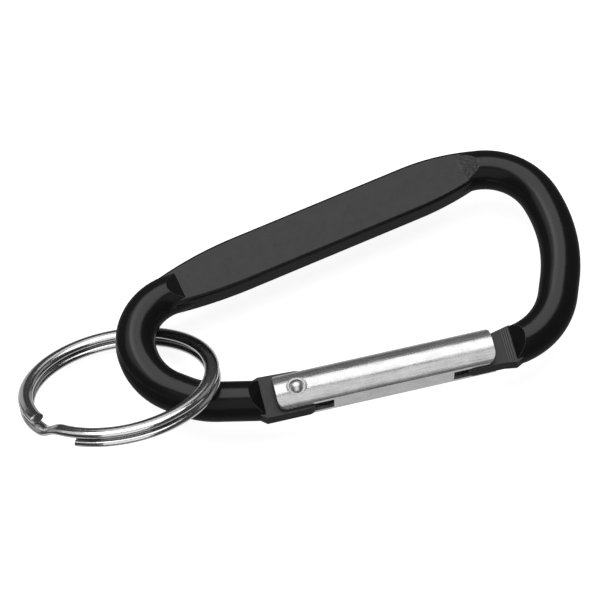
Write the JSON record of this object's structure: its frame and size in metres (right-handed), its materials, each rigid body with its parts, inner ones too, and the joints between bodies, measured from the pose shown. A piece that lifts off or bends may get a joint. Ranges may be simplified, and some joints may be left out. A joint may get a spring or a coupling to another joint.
{
  "type": "carabiner keyring",
  "caption": "Pear-shaped bent-rod carabiner with a flattened spine and a spring-loaded rolled-sheet gate, carrying a split key ring in its narrow end.",
  "frame": {"origin": "inner side of the wide bend at mid thickness, where a strap or bar hangs", "axes": "+X along the closed gate from the hinge to the nose and out through the wide bend, +Y from the gate towards the spine, +Z normal to the loop"},
  "size_m": [0.0874, 0.0388, 0.0192],
  "materials": {
    "frame_black": "glossy black anodised, satin on the pressed flats",
    "gate_silver": "satin tumbled bare aluminium",
    "rivet_steel": "bright peened steel",
    "pin_steel": "plain turned steel",
    "spring_steel": "drawn spring wire",
    "ring_nickel": "bright nickel-plated steel"
  },
  "bodies": {
    "frame": {"frame_body": "frame_black"},
    "gate": {"gate": "gate_silver", "hinge_rivet": "rivet_steel", "gate_spring": "spring_steel"},
    "push_pin": {"push_pin": "pin_steel"},
    "ring": {"split_ring": "ring_nickel"}
  },
  "joints": [
    {"name": "gate_open", "type": "hinge", "parent": "frame", "child": "gate", "pos_m": [-0.0412, -0.0156, 0], "axis": [0, 0, 1], "range_deg": [0, 38], "stiffness_Nm_per_rad": 0.06, "springref_deg": -28.65},
    {"name": "pin_slide", "type": "slide", "parent": "gate", "child": "push_pin", "axis": [1, 0, 0], "range_m": [0, 0.0005], "deforming": ["gate_spring"]},
    {"name": "ring_swing", "type": "hinge", "parent": "frame", "child": "ring", "pos_m": [-0.0612, -0.0076, -0.001], "axis": [-0.8084, 0.5887, 0], "range_deg": [0, 110]}
  ],
  "couplings": [
    {"joint": "pin_slide", "follows": "gate_open", "m_per_rad": 0.0007}
  ]
}
